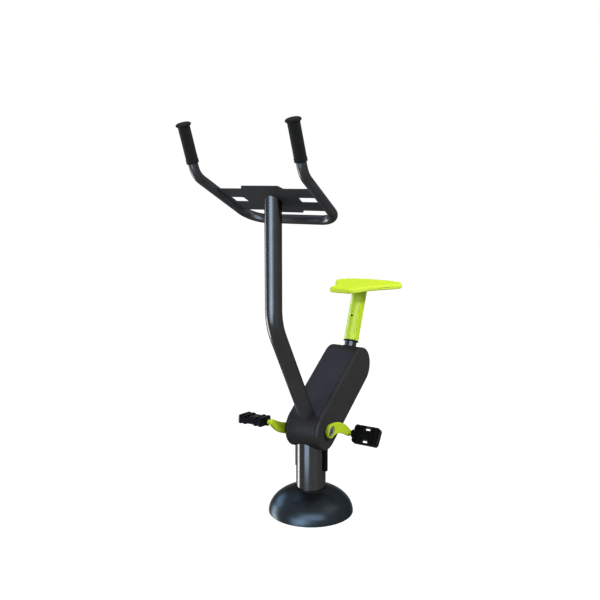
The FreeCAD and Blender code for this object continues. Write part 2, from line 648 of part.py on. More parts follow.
def place_crank(shape, sign):
    """Set a crank-frame shape on the axle: the left arm trails, the right one is its opposite."""
    placed = shape.mirror(V(0, 0, 0), X_AXIS)
    if sign < 0:
        placed = placed.mirror(V(0, 0, 0), Y_AXIS)
        placed.rotate(V(0, 0, 0), Y_AXIS, 180)
    placed.rotate(V(0, 0, 0), Y_AXIS, -CRANK_DROP)
    placed.translate(CRANK_AXIS)
    return placed


def build_crankset():
    axle = disc_y(CRANK_AXIS, -AXLE_END, AXLE_END, AXLE_RADIUS)
    axle = axle.fuse(disc_y(CRANK_AXIS, -BEARING_INNER_Y, PULLEY_START, AXLE_COLLAR_RADIUS)).removeSplitter()
    outer_rings, inner_rings, washers, bolts = [], [], [], []
    recess_floor = CRANK_OUTER - CRANK_RECESS_DEPTH
    bolt_seat = recess_floor + CRANK_WASHER_THICKNESS
    for sign in SIDES.values():
        outer_rings.append(ring_y(CRANK_AXIS, sign * BEARING_INNER_Y, sign * BEARING_OUTER_Y,
                                  CRANK_BEARING_RADIUS, CRANK_BEARING_SPLIT + BEARING_GAP))
        inner_rings.append(ring_y(CRANK_AXIS, sign * BEARING_INNER_Y, sign * BEARING_OUTER_Y,
                                  CRANK_BEARING_SPLIT, AXLE_RADIUS))
        shank = disc_y(CRANK_AXIS, sign * (AXLE_END - CRANK_BOLT_DEPTH), sign * bolt_seat, CRANK_BOLT_RADIUS)
        washers.append(ring_y(CRANK_AXIS, sign * recess_floor, sign * bolt_seat,
                              CRANK_WASHER_RADIUS, CRANK_BOLT_RADIUS))
        head = hexagon_y(CRANK_AXIS, sign * bolt_seat, sign * (bolt_seat + CRANK_BOLT_HEAD),
                         CRANK_BOLT_ACROSS_FLATS)
        bolts.append(shank.fuse(head).removeSplitter())
        axle = axle.cut(shank)
    nodes["crank_axle"] = axle
    nodes["crank_bearing_outer_rings"] = Part.makeCompound(outer_rings)
    nodes["crank_bearing_inner_rings"] = Part.makeCompound(inner_rings)
    nodes["crank_washers"] = Part.makeCompound(washers)
    nodes["crank_bolts"] = Part.makeCompound(bolts)

    crank = build_crank()
    spindle_axis = X_AXIS * CRANK_LENGTH
    spindle = disc_y(spindle_axis, CRANK_ARM_INNER, SPINDLE_END, SPINDLE_RADIUS)
    spindle = spindle.fuse(disc_y(spindle_axis, SPINDLE_END, SPINDLE_END + SPINDLE_HEAD, SPINDLE_HEAD_RADIUS))
    spindle = spindle.removeSplitter()
    for side, sign in SIDES.items():
        nodes[f"crank_{side}"] = place_crank(crank, sign)
        nodes[f"pedal_spindle_{side}"] = place_crank(spindle, sign)


# Pedals
def pedal_bar(start, end, thickness, corner_round):
    """A bar across the pedal's width, between two distances along Y, its long edges rounded."""
    half_width = PEDAL_WIDTH / 2.0
    bar = block(V(-half_width, start, -thickness / 2), V(half_width, end, thickness / 2))
    long_edges = [e for e in bar.Edges if abs(e.tangentAt(e.FirstParameter).y) > 0.9]
    return bar.makeFillet(corner_round, long_edges)


def build_pedal():
    """A pedal on the Y axis, its treads facing up and down, its width along X."""
    half_width = PEDAL_WIDTH / 2.0
    middle = (PEDAL_START + PEDAL_END) / 2.0
    core = pedal_bar(PEDAL_START, PEDAL_END, PEDAL_CORE, PEDAL_CORE_ROUND)
    ribs = []
    for place in PEDAL_RIB_PLACES:
        rib_start = middle + place - PEDAL_RIB_WIDTH / 2
        ribs.append(pedal_bar(rib_start, rib_start + PEDAL_RIB_WIDTH, PEDAL_THICKNESS, PEDAL_RIB_ROUND))
    body = core.multiFuse(ribs + [disc_y(V(0, 0, 0), PEDAL_START, PEDAL_END, PEDAL_BARREL_RADIUS)])
    plan = block(V(-half_width, PEDAL_START, -PEDAL_THICKNESS), V(half_width, PEDAL_END, PEDAL_THICKNESS))
    uprights = [e for e in plan.Edges if abs(e.tangentAt(e.FirstParameter).z) > 0.9]
    plan = plan.makeFillet(PEDAL_CORNER, uprights)
    body = body.common(plan).removeSplitter()
    for sign in (-1, 1):
        centre = V(sign * PEDAL_HOLE_PLACE, middle, 0)
        corner = V(PEDAL_HOLE_WIDTH / 2, PEDAL_HOLE_LENGTH / 2, PEDAL_THICKNESS)
        body = body.cut(block(centre - corner, centre + corner))
    body = body.cut(disc_y(V(0, 0, 0), PEDAL_START, PEDAL_END, PEDAL_BORE_RADIUS))
    boss = ring_y(V(0, 0, 0), PEDAL_BOSS_START, PEDAL_START + PEDAL_BUSH_SUNK, PEDAL_BOSS_RADIUS,
                  SPINDLE_RADIUS + PEDAL_BOSS_GAP)
    return body.fuse(boss).removeSplitter()


def build_pedals():
    body = build_pedal()
    bush_starts = (PEDAL_START + PEDAL_BUSH_SUNK, SPINDLE_END - PEDAL_BUSH_HEAD_GAP - PEDAL_BUSH_LENGTH)
    bushes = Part.makeCompound([ring_y(V(0, 0, 0), start, start + PEDAL_BUSH_LENGTH, PEDAL_BORE_RADIUS,
                                       SPINDLE_RADIUS + BUSH_RUNNING_GAP) for start in bush_starts])
    cap = disc_y(V(0, 0, 0), PEDAL_END - PEDAL_CAP_THICKNESS, PEDAL_END, PEDAL_BORE_RADIUS)
    tilts = {"left": PEDAL_LEFT_TILT, "right": PEDAL_RIGHT_TILT}
    arm = tilted(180.0 + CRANK_DROP) * CRANK_LENGTH
    for side, sign in SIDES.items():
        for name, shape in (("pedal", body), ("pedal_bushes", bushes), ("pedal_cap", cap)):
            placed = shape.copy() if sign > 0 else shape.mirror(V(0, 0, 0), Y_AXIS)
            placed.rotate(V(0, 0, 0), Y_AXIS, -tilts[side])
            placed.translate(CRANK_AXIS + arm * sign)
            nodes[f"{name}_{side}"] = placed


# Belt drive and flywheel
def pulley(axis, radius, start, end, hub_radius, bore_radius):
    """Flanged belt pulley with a hub that runs from start to end."""
    wheel = disc_y(axis, PULLEY_START, PULLEY_END, radius)
    for low in (PULLEY_START, PULLEY_END - PULLEY_FLANGE):
        wheel = wheel.fuse(disc_y(axis, low, low + PULLEY_FLANGE, radius + PULLEY_FLANGE_LIP))
    wheel = wheel.fuse(disc_y(axis, start, end, hub_radius)).removeSplitter()
    return wheel.cut(disc_y(axis, start, end, bore_radius))


def build_drive():
    nodes["drive_pulley"] = pulley(CRANK_AXIS, DRIVE_PULLEY_RADIUS, PULLEY_START, BEARING_INNER_Y,
                                   CRANK_BEARING_SPLIT, AXLE_RADIUS)
    nodes["flywheel_pulley"] = pulley(FLYWHEEL_AXIS, FLYWHEEL_PULLEY_RADIUS, SHAFT_HUB_HALF, PULLEY_END,
                                      SHAFT_BEARING_SPLIT, SHAFT_RADIUS)
    belt_low = PULLEY_START + PULLEY_FLANGE + BELT_SIDE_GAP
    belt_high = PULLEY_END - PULLEY_FLANGE - BELT_SIDE_GAP
    loops = []
    for grow in (BELT_GAP + BELT_THICKNESS, BELT_GAP):
        loops.append(slab(round_ended(CRANK_AXIS, DRIVE_PULLEY_RADIUS + grow, FLYWHEEL_AXIS,
                                      FLYWHEEL_PULLEY_RADIUS + grow), belt_low, belt_high))
    nodes["drive_belt"] = loops[0].cut(loops[1])

    nodes["flywheel_shaft"] = disc_y(FLYWHEEL_AXIS, SHAFT_RIGHT_END, SHAFT_LEFT_END, SHAFT_RADIUS)
    wheel = disc_y(FLYWHEEL_AXIS, FLYWHEEL_OUTER_Y, FLYWHEEL_INNER_Y, FLYWHEEL_RADIUS)
    web_middle = (FLYWHEEL_OUTER_Y + FLYWHEEL_INNER_Y) / 2
    for low, high in ((FLYWHEEL_OUTER_Y, web_middle - FLYWHEEL_WEB / 2),
                      (web_middle + FLYWHEEL_WEB / 2, FLYWHEEL_INNER_Y)):
        wheel = wheel.cut(ring_y(FLYWHEEL_AXIS, low, high, FLYWHEEL_RADIUS - FLYWHEEL_RIM,
                                 FLYWHEEL_HUB_RADIUS))
    wheel = wheel.fuse(disc_y(FLYWHEEL_AXIS, FLYWHEEL_INNER_Y, -SHAFT_HUB_HALF, SHAFT_BEARING_SPLIT))
    wheel = wheel.removeSplitter()
    nodes["flywheel"] = wheel.cut(disc_y(FLYWHEEL_AXIS, FLYWHEEL_OUTER_Y, -SHAFT_HUB_HALF, SHAFT_RADIUS))
    nuts = []
    for low, high in ((SHAFT_RIGHT_END, FLYWHEEL_OUTER_Y), (PULLEY_END, SHAFT_LEFT_END)):
        nut = hexagon_y(FLYWHEEL_AXIS, low, high, SHAFT_NUT_ACROSS_FLATS)
        nuts.append(nut.cut(disc_y(FLYWHEEL_AXIS, low, high, SHAFT_RADIUS)))
    nodes["flywheel_nuts"] = Part.makeCompound(nuts)
    outer_rings, inner_rings = [], []
    for sign in SIDES.values():
        stations = sign * (SHAFT_HUB_HALF - SHAFT_BEARING_WIDTH), sign * SHAFT_HUB_HALF
        outer_rings.append(ring_y(FLYWHEEL_AXIS, *stations, SHAFT_BEARING_RADIUS,
                                  SHAFT_BEARING_SPLIT + BEARING_GAP))
        inner_rings.append(ring_y(FLYWHEEL_AXIS, *stations, SHAFT_BEARING_SPLIT, SHAFT_RADIUS))
    nodes["flywheel_bearing_outer_rings"] = Part.makeCompound(outer_rings)
    nodes["flywheel_bearing_inner_rings"] = Part.makeCompound(inner_rings)


# Sliding seat: sleeve, bushes, plate, saddle and screws
def saddle_outline():
    """Plan of the saddle: a wide nose, drawn-in flanks and round wings, the same on both sides."""
    half = [V(x, y, 0) for x, y in SADDLE_HALF_PLAN]
    other = [V(x, -y, 0) for x, y in reversed(SADDLE_HALF_PLAN)]
    curve = Part.BSplineCurve()
    curve.interpolate(Points=half + other, PeriodicFlag=True)
    return Part.Wire(curve.toShape())


def build_seat():
    over_sleeve = half_space(Z_AXIS * SEAT_PLATE_Z, Z_AXIS)
    start, beyond = seat_at(SLEEVE_START), seat_at(SEAT_TUBE_TOP + 2 * SLEEVE_RADIUS)
    sleeve = pipe(start, beyond, SLEEVE_RADIUS, SLEEVE_RADIUS - SLEEVE_WALL).cut(over_sleeve)
    screw_axis = seat_at(LOCK_SCREW_ALONG)
    screw_low = screw_axis + SEAT_FRONT * (SEAT_TUBE_RADIUS + LOCK_SCREW_GAP)
    screw_high = screw_axis + SEAT_FRONT * (SLEEVE_RADIUS - LOCK_SCREW_SUNK)
    hole = rod(screw_low, screw_axis + SEAT_FRONT * (SLEEVE_RADIUS + SLEEVE_WALL), LOCK_SCREW_RADIUS)
    nodes["seat_sleeve"] = sleeve.cut(hole)
    screw = rod(screw_low, screw_high, LOCK_SCREW_RADIUS)
    nodes["seat_lock_screw"] = screw.cut(rod(screw_high - SEAT_FRONT * LOCK_SCREW_SOCKET_DEPTH, screw_high,
                                             LOCK_SCREW_SOCKET_RADIUS))

    bore = SEAT_TUBE_RADIUS + BUSH_RUNNING_GAP
    inside = SLEEVE_RADIUS - SLEEVE_WALL
    lower = pipe(start - SEAT_UP * BUSH_RING, start, BUSH_RING_RADIUS, bore)
    lower = lower.fuse(pipe(start, start + SEAT_UP * BUSH_HEIGHT, inside, bore)).removeSplitter()
    nodes["seat_lower_bush"] = lower
    upper_start = seat_at(UPPER_BUSH_START)
    nodes["seat_upper_bush"] = pipe(upper_start, upper_start + SEAT_UP * BUSH_HEIGHT, inside, bore)

    top_axis = seat_at((SEAT_PLATE_Z - SEAT_POINT.z) / SEAT_UP.z)
    plate_low = V(top_axis.x - SEAT_PLATE_HALF_X, -SEAT_PLATE_HALF_Y, SEAT_PLATE_Z)
    plate_high = V(top_axis.x + SEAT_PLATE_HALF_X, SEAT_PLATE_HALF_Y, SEAT_PLATE_Z + SEAT_PLATE_THICKNESS)
    plate = block(plate_low, plate_high)
    margin = V(SEAT_PLATE_GAP, SEAT_PLATE_GAP, 0)
    pocket = block(plate_low - margin - Z_AXIS * SEAT_PLATE_THICKNESS, plate_high + margin)
    saddle = Part.Face(saddle_outline()).extrude(Z_AXIS * (SADDLE_TOP - SADDLE_BOTTOM))
    saddle.translate(Z_AXIS * SADDLE_BOTTOM)
    top_edges = [e for e in saddle.Edges if e.BoundBox.ZMin > SADDLE_TOP - 1]
    saddle = saddle.makeFillet(SADDLE_TOP_ROUND, top_edges)
    low_edges = [e for e in saddle.Edges if e.BoundBox.ZMax < SADDLE_BOTTOM + 1]
    saddle = saddle.makeFillet(SADDLE_BOTTOM_ROUND, low_edges)
    saddle = saddle.cut(pocket)
    bolts = []
    for x_sign in (-1, 1):
        for y_sign in (-1, 1):
            spot = V(top_axis.x + x_sign * SADDLE_BOLT_X, y_sign * SADDLE_BOLT_Y, SEAT_PLATE_Z)
            tip = spot + Z_AXIS * (SEAT_PLATE_THICKNESS + SADDLE_BOLT_REACH)
            shank = rod(spot, tip, SADDLE_BOLT_RADIUS)
            head = rod(spot - Z_AXIS * SADDLE_BOLT_HEAD_HEIGHT, spot, SADDLE_BOLT_HEAD_RADIUS)
            plate = plate.cut(shank)
            saddle = saddle.cut(shank)
            bolts.append(shank.fuse(head).removeSplitter())
    nodes["seat_plate"] = plate
    nodes["saddle"] = saddle
    nodes["saddle_bolts"] = Part.makeCompound(bolts)


def main():
    post_solid = build_base()
    shell_solid = build_bracket(post_solid)
    mast_solid = build_handlebar(shell_solid)
    tube_solid = build_seat_support(shell_solid, mast_solid)
    build_housing(post_solid, mast_solid, tube_solid)
    build_crankset()
    build_pedals()
    build_drive()
    build_seat()
    os.makedirs("parts", exist_ok=True)
    for name, shape in nodes.items():
        shape.exportStep(f"parts/{name}.step")
        print(f"{name:32s} solids {len(shape.Solids)}  valid {shape.isValid()}")
    print(len(nodes), "nodes")


main()
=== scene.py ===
"""Looks of an outdoor exercise bike on one ground post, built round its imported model.

+X is forward to the handlebar, +Y is the rider's left and +Z is up. New pieces are drawn in millimetres
and brought to metres when they are finished. Lights, camera and floor are in metres.
"""
import bmesh
import bpy
import math
from mathutils import Matrix, Vector


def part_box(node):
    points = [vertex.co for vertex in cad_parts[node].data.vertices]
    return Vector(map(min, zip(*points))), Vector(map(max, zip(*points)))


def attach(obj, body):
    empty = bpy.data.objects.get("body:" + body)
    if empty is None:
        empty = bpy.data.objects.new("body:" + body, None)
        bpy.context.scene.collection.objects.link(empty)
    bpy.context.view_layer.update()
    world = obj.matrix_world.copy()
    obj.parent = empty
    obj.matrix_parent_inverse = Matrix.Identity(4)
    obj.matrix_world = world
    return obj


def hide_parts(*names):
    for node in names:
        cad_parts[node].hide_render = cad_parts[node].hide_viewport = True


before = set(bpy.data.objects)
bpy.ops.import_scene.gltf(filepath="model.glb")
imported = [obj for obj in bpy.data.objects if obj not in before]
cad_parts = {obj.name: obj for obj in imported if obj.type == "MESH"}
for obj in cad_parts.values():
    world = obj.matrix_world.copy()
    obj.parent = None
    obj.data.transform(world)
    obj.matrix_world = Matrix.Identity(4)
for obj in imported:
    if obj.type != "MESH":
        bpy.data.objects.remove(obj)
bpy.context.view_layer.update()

MM = 0.001
X_AXIS = Vector((1, 0, 0))
Y_AXIS = Vector((0, 1, 0))
Z_AXIS = Vector((0, 0, 1))
SIDES = {"left": 1, "right": -1}

# Camera of the photograph
CAMERA_PLACE = (2.511157, 1.488183, 1.266766)
CAMERA_TURN = (81.336, 0.0, 121.480)
CAMERA_LENS = 47.571
CAMERA_SENSOR = 36.0

# Places and sizes that the pieces share, in millimetres and degrees
POST_RADIUS = 57.15
DOME_RADIUS = 163.0
DOME_HEIGHT = 102.0
CRANK_AXIS = Vector((-3.0, 0, 328.0))
CRANK_LENGTH = 152.0
CRANK_DROP = 17.5
HOUSING_LEAN = 35.0
HOUSING_RADIUS = 76.5
HOUSING_LENGTH = 336.0
COVER_SEAM = 57.0
COVER_SEAM_GAP = 0.6
CROSSBAR = Vector((124.4, 0, 1127.0))
ARM_SLOPE = 28.57
ARM_LENGTH = 317.5
ARM_TOP_Y = 210.5
ARM_TOP_TO_GRIP = 44.3
BAR_RADIUS = 16.85
PLATE_THICKNESS = 4.0
GRIP_SLOPE = 69.7
GRIP_LENGTH = 134.5
SEAT_POINT = Vector((-317.5, 0, 604.3))
SEAT_LEAN = 20.2


def tilted(degrees):
    """Unit vector in the X-Z plane, turned up from +X."""
    return Vector((math.cos(math.radians(degrees)), 0, math.sin(math.radians(degrees))))


ARM_UP = tilted(ARM_SLOPE)
GRIP_UP = tilted(GRIP_SLOPE)
SEAT_UP = tilted(90.0 + SEAT_LEAN)
SEAT_FRONT = tilted(SEAT_LEAN)
HOUSING_BACK = tilted(180.0 - HOUSING_LEAN)


# Materials
CLOUD_EDGES = (0.35, 0.65)
PEEL_SIZE = 9.0
PEEL_DEPTH = 0.06


def linear(hex_colour):
    """Linear RGBA of an sRGB hex colour."""
    channels = [int(hex_colour[i:i + 2], 16) / 255 for i in (1, 3, 5)]
    return [c / 12.92 if c <= 0.04045 else ((c + 0.055) / 1.055) ** 2.4 for c in channels] + [1.0]


def grain(size_mm):
    """Texture scale for a pattern whose features are this many millimetres apart."""
    return 1.0 / (size_mm * MM)


def add_node(tree, kind, settings=None, values=None, links=None):
    """Adds a node, sets its properties and input values, and links its inputs."""
    node = tree.nodes.new(kind)
    for name, value in (settings or {}).items():
        setattr(node, name, value)
    for socket, value in (values or {}).items():
        node.inputs[socket].default_value = value
    for socket, source in (links or {}).items():
        tree.links.new(source, node.inputs[socket])
    return node


def start_material(name, shader_values):
    """A material with one principled shader; returns it with its tree, shader and object coordinates."""
    material = bpy.data.materials.new(name)
    material.use_nodes = True
    tree = material.node_tree
    tree.nodes.clear()
    shader = add_node(tree, "ShaderNodeBsdfPrincipled", values=shader_values)
    add_node(tree, "ShaderNodeOutputMaterial", links={"Surface": shader.outputs["BSDF"]})
    place = add_node(tree, "ShaderNodeTexCoord").outputs["Object"]
    return material, tree, shader, place


def vary_colour(tree, shader, place, shades, size_mm):
    """Clouds the base colour between two near shades."""
    cloud = add_node(tree, "ShaderNodeTexNoise", values={"Scale": grain(size_mm), "Detail": 3.0},
                     links={"Vector": place})
    ramp = add_node(tree, "ShaderNodeValToRGB", links={"Fac": cloud.outputs["Fac"]})
    for stop, position, shade in zip(ramp.color_ramp.elements, CLOUD_EDGES, shades):
        stop.position = position
        stop.color = linear(shade)
    tree.links.new(ramp.outputs["Color"], shader.inputs["Base Color"])


def vary_roughness(tree, shader, place, low, high, size_mm):
    """Makes some patches duller than others."""
    cloud = add_node(tree, "ShaderNodeTexNoise", values={"Scale": grain(size_mm), "Detail": 1.0},
                     links={"Vector": place})
    spread = add_node(tree, "ShaderNodeMapRange", values={"To Min": low, "To Max": high},
                      links={"Value": cloud.outputs["Fac"]})
    tree.links.new(spread.outputs["Result"], shader.inputs["Roughness"])


def roughen(tree, shader, height, strength, depth_mm, sockets=("Normal",)):
    """Bumps the surface by a height pattern."""
    bump = add_node(tree, "ShaderNodeBump", values={"Strength": strength, "Distance": depth_mm * MM},
                    links={"Height": height})
    for socket in sockets:
        tree.links.new(bump.outputs["Normal"], shader.inputs[socket])


def orange_peel(tree, shader, place, strength, sockets=("Normal",)):
    """The faint waves of a powdered or sprayed coat."""
    # real orange peel is about 2 mm across; it is drawn coarser so that it shows at this scale
    peel = add_node(tree, "ShaderNodeTexNoise", values={"Scale": grain(PEEL_SIZE), "Detail": 1.0},
                    links={"Vector": place})
    roughen(tree, shader, peel.outputs["Fac"], strength, PEEL_DEPTH, sockets)


def dull_by_height(tree, shader, place, middle_mm, dull_mm, clean_mm, dullest):
    """Dulls a coat near a height, as dust and handling do: fully within one distance, fading to another."""
    height = add_node(tree, "ShaderNodeSeparateXYZ", links={0: place}).outputs["Z"]
    above = add_node(tree, "ShaderNodeMath", {"operation": "SUBTRACT"}, {1: middle_mm * MM}, {0: height})
    away = add_node(tree, "ShaderNodeMath", {"operation": "ABSOLUTE"}, links={0: above.outputs[0]})
    dust = add_node(tree, "ShaderNodeMapRange", links={"Value": away.outputs[0]}, values={
        "From Min": dull_mm * MM, "From Max": clean_mm * MM, "To Min": dullest, "To Max": 0.0})
    clean = shader.inputs["Roughness"].links[0].from_socket
    dulled = add_node(tree, "ShaderNodeMath", {"operation": "MAXIMUM"},
                      links={0: clean, 1: dust.outputs["Result"]})
    tree.links.new(dulled.outputs[0], shader.inputs["Roughness"])


def painted_rim_highlight(tree, shader, rim_highlight_colour):
    """Painted highlight: a paler colour where the surface faces sideways, standing in for the sheen that
    light lays along a moulding's rim.
    """
    sideways, upwards = 0.45, 0.95
    facing = add_node(tree, "ShaderNodeTexCoord").outputs["Normal"]
    height = add_node(tree, "ShaderNodeSeparateXYZ", links={0: facing}).outputs["Z"]
    flat = add_node(tree, "ShaderNodeMapRange", values={"From Min": sideways, "From Max": upwards},
                    links={"Value": height})
    body_colour = shader.inputs["Base Color"].links[0].from_socket
    mix = add_node(tree, "ShaderNodeMix", {"data_type": "RGBA"}, values={6: linear(rim_highlight_colour)},
                   links={0: flat.outputs["Result"], 7: body_colour})
    tree.links.new(mix.outputs[2], shader.inputs["Base Color"])


def metallic_coat(name, shades, flake, roughness, dull=None):
    """Metallic powder on steel or plastic: dark and even, with soft mirror streaks and no pale rims."""
    material, tree, shader, place = start_material(name, {
        "Metallic": flake, "Roughness": roughness, "Specular IOR Level": 0.0,
        "Specular Tint": linear("#b3b3b3")})
    vary_colour(tree, shader, place, shades, size_mm=60.0)
    vary_roughness(tree, shader, place, roughness - 0.02, roughness + 0.02, size_mm=40.0)
    orange_peel(tree, shader, place, strength=0.004)
    if dull:
        dull_by_height(tree, shader, place, **dull)
    return material


def gloss_coat(name, shades, coat, coat_roughness):
    """Plain coloured powder on steel: even colour under a thin clear gloss, with a faint orange peel."""
    material, tree, shader, place = start_material(name, {
        "Roughness": 0.55, "Specular IOR Level": 0.03, "Coat Weight": coat, "Coat Roughness": coat_roughness})
    vary_colour(tree, shader, place, shades, size_mm=60.0)
    vary_roughness(tree, shader, place, low=0.5, high=0.6, size_mm=25.0)
    orange_peel(tree, shader, place, strength=0.003, sockets=("Normal", "Coat Normal"))
    return material


def moulded_plastic(name, shades, roughness, gloss, texture_mm, rim_highlight_colour=None):
    """Moulded polymer: coloured through, with the fine spark-eroded grain of its mould."""
    material, tree, shader, place = start_material(name, {
        "Roughness": roughness, "Specular IOR Level": gloss})
    vary_colour(tree, shader, place, shades, size_mm=45.0)
    vary_roughness(tree, shader, place, roughness - 0.06, roughness + 0.06, size_mm=18.0)
    # mould grain is under 0.5 mm; it is drawn coarser so that it shows
    cells = add_node(tree, "ShaderNodeTexVoronoi", values={"Scale": grain(texture_mm)},
                     links={"Vector": place})
    roughen(tree, shader, cells.outputs["Distance"], strength=0.25, depth_mm=0.02)
    # painted highlight: a paler colour on the faces that turn sideways, such as the saddle's rim
    if rim_highlight_colour:
        painted_rim_highlight(tree, shader, rim_highlight_colour)
    return material


def soft_rubber(name, shades):
    """Moulded rubber: matt and nearly black, in faint patches."""
    material, tree, shader, place = start_material(name, {
        "Roughness": 0.8, "Specular IOR Level": 0.02})
    vary_colour(tree, shader, place, shades, size_mm=14.0)
    # skin texture is about 0.3 mm; it is drawn 2.5 mm across so that it shows
    skin = add_node(tree, "ShaderNodeTexNoise", values={"Scale": grain(2.5), "Detail": 3.0},
                    links={"Vector": place})
    roughen(tree, shader, skin.outputs["Fac"], strength=0.12, depth_mm=0.15)
    return material


def bare_metal(name, shades, roughness, streak_mm):
    """Plated, cast or turned metal: grey mirror, broken by fine marks of its making."""
    material, tree, shader, place = start_material(name, {"Metallic": 1.0, "Roughness": roughness})
    vary_colour(tree, shader, place, shades, size_mm=9.0)
    vary_roughness(tree, shader, place, roughness - 0.08, roughness + 0.1, size_mm=4.0)
    marks = add_node(tree, "ShaderNodeTexNoise", values={"Scale": grain(streak_mm), "Detail": 2.0},
                     links={"Vector": place})
    roughen(tree, shader, marks.outputs["Fac"], strength=0.2, depth_mm=0.05)
    return material


FINISHES = {
    # near-black tube that mirrors its surroundings as soft upright streaks
    "anthracite_paint": metallic_coat("anthracite_metallic_powder_coat", ("#343435", "#363637"),
                                      flake=0.75, roughness=0.14),
    # cover moulded in a metallic grey: even and dark, with hardly a reflection
    "dark_moulding": metallic_coat("anthracite_metallic_abs", ("#363637", "#383838"),
                                   flake=0.15, roughness=0.32),
    # bright lime with a soft sheen along the tube
    "lime_paint": gloss_coat("lime_powder_coat", ("#c3df2b", "#c8e431"), coat=0.25, coat_roughness=0.38),
    # lime coloured through and matt on top, with a painted highlight round the rim where the colour turns
    # paler
    "lime_moulding": moulded_plastic("lime_polyethylene_moulding_painted_rim_highlight", ("#d7f42d", "#dbf633"),
                                     roughness=0.5, gloss=0.006, texture_mm=4.0, rim_highlight_colour="#def850"),
    # dead matt dark grey
    "black_rubber": soft_rubber("black_rubber", ("#222222", "#262626")),
    # black with almost no shine
    "black_moulding": moulded_plastic("black_nylon_moulding", ("#131315", "#171719"),
                                      roughness=0.35, gloss=0.015, texture_mm=2.5),
    # dark grey, half-bright metal
    "plain_steel": bare_metal("phosphated_steel", ("#55565a", "#626367"), roughness=0.3, streak_mm=1.5),
    # dull, sandy dark metal
    "cast_iron": bare_metal("cast_iron", ("#3c3b3a", "#4a4846"), roughness=0.62, streak_mm=2.5),
    # pale metal with fine turning marks
    "pulley_aluminium": bare_metal("turned_aluminium", ("#b9bbbd", "#c6c8ca"), roughness=0.3, streak_mm=0.8),
}
# painted shade: the ribs drawn flat black, darker than the frame's own paint, so that they read as a shadow
# beside the post
RIB_PAINTED_SHADE_FINISH = metallic_coat("rib_black_painted_shade", ("#171718", "#1a1a1b"), flake=0.02, roughness=0.5)
# a black dot on the lime sleeve
SCREW_FINISH = metallic_coat("black_oxide_steel", ("#0b0b0c", "#101011"), flake=0.2, roughness=0.4)
# streaked above the bend, dusty and plain below it
MAST_FINISH = metallic_coat(
    "anthracite_metallic_powder_coat_mast", ("#343435", "#363637"), flake=0.75, roughness=0.2,
    dull={"middle_mm": 0.0, "dull_mm": 420.0, "clean_mm": 800.0, "dullest": 0.5})
# bright in the upper bends, worn plain along the arms
BAR_FINISH = metallic_coat(
    "anthracite_metallic_powder_coat_bar", ("#353536", "#373738"), flake=0.6, roughness=0.3,
    dull={"middle_mm": 1203.0, "dull_mm": 48.0, "clean_mm": 68.0, "dullest": 0.55})
# bent band of the housing: faint blue sky on its front, no streaks
BAND_FINISH = metallic_coat("anthracite_metallic_powder_coat_band", ("#303031", "#323233"),
                            flake=0.3, roughness=0.28)
# coarse powder: one even dark grey
PLATE_FINISH = metallic_coat("anthracite_textured_powder_coat", ("#2d2d2e", "#2f2f30"),
                             flake=0.75, roughness=0.55)
# a bright grey ring in the crank's cup
WASHER_FINISH = bare_metal("zinc_plated_steel", ("#8a8b8e", "#96979a"), roughness=0.35, streak_mm=1.5)
# lime with the slight shine of powder on a cast skin
CRANK_FINISH = gloss_coat("lime_powder_coat_on_casting", ("#bfdb2b", "#c4e031"),
                          coat=0.07, coat_roughness=0.3)
# blue-black, with broad soft patches of sky
DOME_FINISH = metallic_coat("graphite_lacquered_moulding", ("#24282b", "#262b2f"), flake=0.75, roughness=0.3)


# Mesh helpers, all in millimetres
MERGE_DISTANCE = 0.002
TURNED_MERGE = 0.001
FLAT_ANGLE = math.radians(0.3)


def everything(bm):
    """All the geometry of a bmesh."""
    return bm.verts[:] + bm.edges[:] + bm.faces[:]


def bench_copy(node):
    """Copy of a node's mesh in millimetres, its triangles merged and its flat faces made whole."""
    bm = bmesh.new()
    bm.from_mesh(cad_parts[node].data)
    bmesh.ops.scale(bm, vec=(1 / MM,) * 3, verts=bm.verts)
    bmesh.ops.remove_doubles(bm, verts=bm.verts, dist=MERGE_DISTANCE)
    bmesh.ops.dissolve_limit(bm, angle_limit=FLAT_ANGLE, verts=bm.verts, edges=bm.edges)
    return bm


def soften(bm, width, segments=3, angle=30.0, choose=None):
    """Rounds the outward edges that are sharper than an angle."""
    sharp = [e for e in bm.edges if e.is_manifold and e.is_convex
             and e.calc_face_angle() > math.radians(angle) and (choose is None or choose(e))]
    bmesh.ops.bevel(bm, geom=sharp, affect="EDGES", offset=width, segments=segments, profile=0.5,
                    material=-1, clamp_overlap=True)


def lathe(bm, profile, base, axis, steps=96, closed=True):
    """Spins a profile of (radius, height) points about an axis through a base point."""
    verts = [bm.verts.new((radius, 0, height)) for radius, height in profile]
    pairs = list(zip(verts, verts[1:]))
    if closed:
        pairs.append((verts[-1], verts[0]))
    edges = [bm.edges.new(pair) for pair in pairs]
    before = set(bm.verts) - set(verts)
    bmesh.ops.spin(bm, geom=verts + edges, cent=(0, 0, 0), axis=Z_AXIS, angle=math.tau, steps=steps,
                   use_merge=True)
    made = [v for v in bm.verts if v not in before]
    turn = Vector(axis).to_track_quat("Z", "Y").to_matrix().to_4x4()
    bmesh.ops.transform(bm, matrix=Matrix.Translation(base) @ turn, verts=made)
    bmesh.ops.remove_doubles(bm, verts=made, dist=TURNED_MERGE)
    bmesh.ops.recalc_face_normals(bm, faces=bm.faces)


def level_outline(node, level, axis, merge):
    """Outline of a node where a plane square to an axis cuts it, with near points merged."""
    bm = bench_copy(node)
    bmesh.ops.bisect_plane(bm, geom=everything(bm), plane_co=axis * level, plane_no=axis, clear_inner=True,
                           clear_outer=True)
    bmesh.ops.remove_doubles(bm, verts=bm.verts, dist=merge)
    return bm


def raise_faces(bm, faces, rise):
    """Extrudes faces by a vector and turns the closed shell outwards."""
    raised = bmesh.ops.extrude_face_region(bm, geom=faces)["geom"]
    lifted = [item for item in raised if isinstance(item, bmesh.types.BMVert)]
    bmesh.ops.translate(bm, vec=rise, verts=lifted)
    bmesh.ops.recalc_face_normals(bm, faces=bm.faces)


